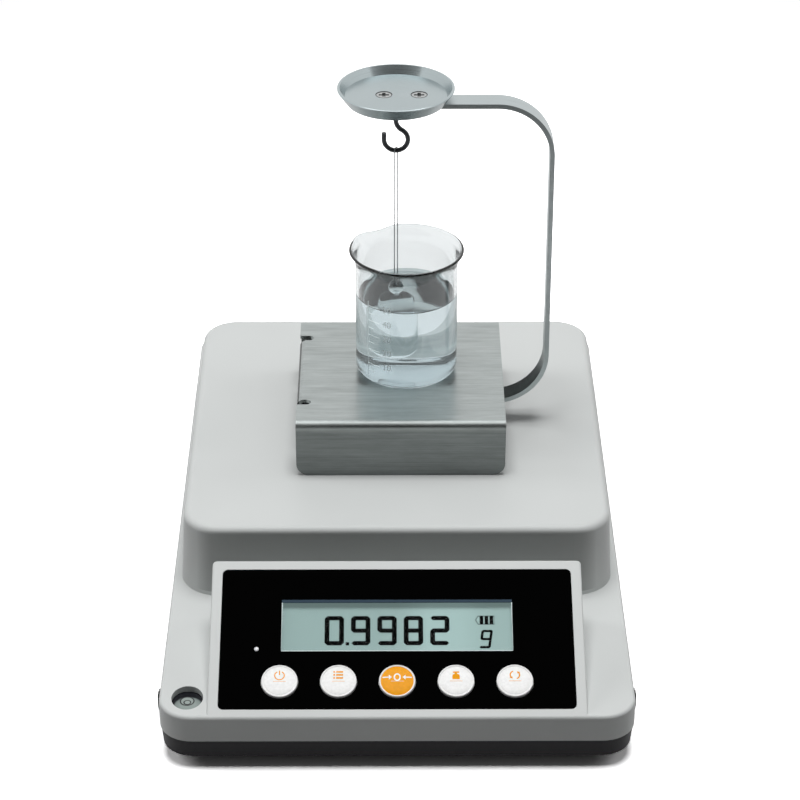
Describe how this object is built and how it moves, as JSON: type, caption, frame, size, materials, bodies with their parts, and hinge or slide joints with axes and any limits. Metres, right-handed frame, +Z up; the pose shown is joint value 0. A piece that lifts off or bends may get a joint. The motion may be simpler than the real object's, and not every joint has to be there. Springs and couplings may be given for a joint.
{
  "type": "benchtop density meter",
  "caption": "Benchtop density balance: keyed display console, raised platform, bridge with beaker, and a C-shaped arm that hangs a glass sinker under a small tray.",
  "frame": {"origin": "on the bench, under the middle of the housing", "axes": "+Z up; the operator stands at -Y and faces +Y; +X is the operator's right"},
  "size_m": [0.195, 0.315, 0.2167],
  "materials": {
    "pale_abs": "fine-textured pale grey moulded housing",
    "dark_abs": "fine-textured near-black moulded base",
    "zinc_steel": "zinc-plated screw heads",
    "battery_case": "black sealed battery case",
    "insert_brass": "turned threaded inserts",
    "vial_clear": "clear moulded vial with pale liquid",
    "panel_black": "gloss black overlay",
    "window_clear": "clear display window",
    "lcd_glass": "grey-green liquid-crystal glass",
    "holder_white": "white moulded frame",
    "led_clear": "clear epoxy lamp",
    "switch_black": "black switch bodies",
    "board_green": "green solder-masked board",
    "component_black": "black moulded components",
    "cable_grey": "grey flexible insulation",
    "machined_aluminium": "milled",
    "steel_bar": "brushed stainless flat bar",
    "turned_aluminium": "turned, with fine circular lay",
    "black_wire": "blackened wire",
    "fine_wire": "fine drawn wire",
    "lab_glass": "clear borosilicate glass",
    "brushed_sheet": "brushed stainless sheet",
    "key_pale": "pale key caps",
    "key_orange": "orange key cap",
    "foot_rubber": "black rubber pads",
    "wheel_black": "black knurled wheels with threaded stud"
  },
  "bodies": {
    "housing": {"base_plate": "machined_aluminium", "base_plate_screws": "zinc_steel", "battery": "battery_case", "battery_cover": "dark_abs", "battery_cover_screws": "zinc_steel", "battery_leads": "cable_grey", "board_screws": "zinc_steel", "case_screws": "zinc_steel", "display_board": "board_green", "display_board_screws": "zinc_steel", "display_cable": "cable_grey", "display_panel": "panel_black", "display_window": "window_clear", "foot_inserts": "insert_brass", "key_switches": "switch_black", "lcd": "lcd_glass", "lcd_holder": "holder_white", "level_cap": "dark_abs", "level_vial": "vial_clear", "load_cell": "machined_aluminium", "load_cell_cable": "cable_grey", "load_cell_screws": "zinc_steel", "load_cell_spacer": "machined_aluminium", "lower_case": "dark_abs", "main_board": "board_green", "main_board_parts": "component_black", "overload_stop": "zinc_steel", "power_board": "board_green", "power_board_parts": "component_black", "power_inlet": "component_black", "power_led": "led_clear", "upper_case": "pale_abs"},
    "carriage": {"pan_support": "machined_aluminium", "pan_support_screws": "zinc_steel", "arm_screws": "zinc_steel", "hanger_arm": "steel_bar", "weighing_tray": "turned_aluminium", "tray_screws": "zinc_steel", "sinker_hook": "black_wire", "hook_nut": "black_wire"},
    "suspension": {"sinker_wire": "fine_wire"},
    "plummet": {"sinker": "lab_glass"},
    "bridge": {"beaker_bridge": "brushed_sheet"},
    "vessel": {"beaker": "lab_glass"},
    "key_power": {"key_power": "key_pale"},
    "key_function": {"key_function": "key_pale"},
    "key_tare": {"key_tare": "key_orange"},
    "key_calibrate": {"key_calibrate": "key_pale"},
    "key_convert": {"key_convert": "key_pale"},
    "foot_pad_front_left": {"foot_pad_front_left": "foot_rubber"},
    "foot_wheel_front_left": {"foot_wheel_front_left": "wheel_black"},
    "foot_pad_front_right": {"foot_pad_front_right": "foot_rubber"},
    "foot_wheel_front_right": {"foot_wheel_front_right": "wheel_black"},
    "foot_pad_rear_left": {"foot_pad_rear_left": "foot_rubber"},
    "foot_wheel_rear_left": {"foot_wheel_rear_left": "wheel_black"},
    "foot_pad_rear_right": {"foot_pad_rear_right": "foot_rubber"},
    "foot_wheel_rear_right": {"foot_wheel_rear_right": "wheel_black"}
  },
  "joints": [
    {"name": "weigh_travel", "type": "slide", "parent": "housing", "child": "carriage", "axis": [0, 0, -1], "range_m": [0, 0.00025], "stiffness_N_per_m": 12000, "springref_m": -0.00015},
    {"name": "wire_swing", "type": "hinge", "parent": "carriage", "child": "suspension", "pos_m": [0, 0.0189, 0.188], "axis": [1, 0, 0], "range_deg": [-5, 5]},
    {"name": "sinker_swing", "type": "hinge", "parent": "suspension", "child": "plummet", "pos_m": [0, 0.0189, 0.1263], "axis": [0, 1, 0], "range_deg": [-8, 8]},
    {"name": "bridge_shift", "type": "slide", "parent": "housing", "child": "bridge", "axis": [-1, 0, 0], "range_m": [-0.005, 0.014]},
    {"name": "beaker_lift", "type": "slide", "parent": "bridge", "child": "vessel", "axis": [0, 0, 1], "range_m": [0, 0.006]},
    {"name": "key_power_press", "type": "slide", "parent": "housing", "child": "key_power", "axis": [0, 0.4195, -0.9078], "range_m": [0, 0.0008], "stiffness_N_per_m": 1500, "springref_m": -0.0003},
    {"name": "key_function_press", "type": "slide", "parent": "housing", "child": "key_function", "axis": [0, 0.4195, -0.9078], "range_m": [0, 0.0008], "stiffness_N_per_m": 1500, "springref_m": -0.0003},
    {"name": "key_tare_press", "type": "slide", "parent": "housing", "child": "key_tare", "axis": [0, 0.4195, -0.9078], "range_m": [0, 0.0008], "stiffness_N_per_m": 1500, "springref_m": -0.0003},
    {"name": "key_calibrate_press", "type": "slide", "parent": "housing", "child": "key_calibrate", "axis": [0, 0.4195, -0.9078], "range_m": [0, 0.0008], "stiffness_N_per_m": 1500, "springref_m": -0.0003},
    {"name": "key_convert_press", "type": "slide", "parent": "housing", "child": "key_convert", "axis": [0, 0.4195, -0.9078], "range_m": [0, 0.0008], "stiffness_N_per_m": 1500, "springref_m": -0.0003},
    {"name": "foot_extend_front_left", "type": "slide", "parent": "housing", "child": "foot_pad_front_left", "axis": [0, 0, -1], "range_m": [0, 0.00401]},
    {"name": "foot_turn_front_left", "type": "hinge", "parent": "foot_pad_front_left", "child": "foot_wheel_front_left", "pos_m": [-0.0825, -0.1195, 0.0067], "axis": [0, 0, -1], "range_deg": [0, 1440]},
    {"name": "foot_extend_front_right", "type": "slide", "parent": "housing", "child": "foot_pad_front_right", "axis": [0, 0, -1], "range_m": [0, 0.00401]},
    {"name": "foot_turn_front_right", "type": "hinge", "parent": "foot_pad_front_right", "child": "foot_wheel_front_right", "pos_m": [0.0825, -0.1195, 0.0067], "axis": [0, 0, -1], "range_deg": [0, 1440]},
    {"name": "foot_extend_rear_left", "type": "slide", "parent": "housing", "child": "foot_pad_rear_left", "axis": [0, 0, -1], "range_m": [0, 0.00401]},
    {"name": "foot_turn_rear_left", "type": "hinge", "parent": "foot_pad_rear_left", "child": "foot_wheel_rear_left", "pos_m": [-0.0745, 0.1195, 0.0067], "axis": [0, 0, -1], "range_deg": [0, 1440]},
    {"name": "foot_extend_rear_right", "type": "slide", "parent": "housing", "child": "foot_pad_rear_right", "axis": [0, 0, -1], "range_m": [0, 0.00401]},
    {"name": "foot_turn_rear_right", "type": "hinge", "parent": "foot_pad_rear_right", "child": "foot_wheel_rear_right", "pos_m": [0.0745, 0.1195, 0.0067], "axis": [0, 0, -1], "range_deg": [0, 1440]}
  ],
  "couplings": [
    {"joint": "foot_extend_front_left", "follows": "foot_turn_front_left", "m_per_rad": 0.00015915},
    {"joint": "foot_extend_front_right", "follows": "foot_turn_front_right", "m_per_rad": 0.00015915},
    {"joint": "foot_extend_rear_left", "follows": "foot_turn_rear_left", "m_per_rad": 0.00015915},
    {"joint": "foot_extend_rear_right", "follows": "foot_turn_rear_right", "m_per_rad": 0.00015915}
  ]
}
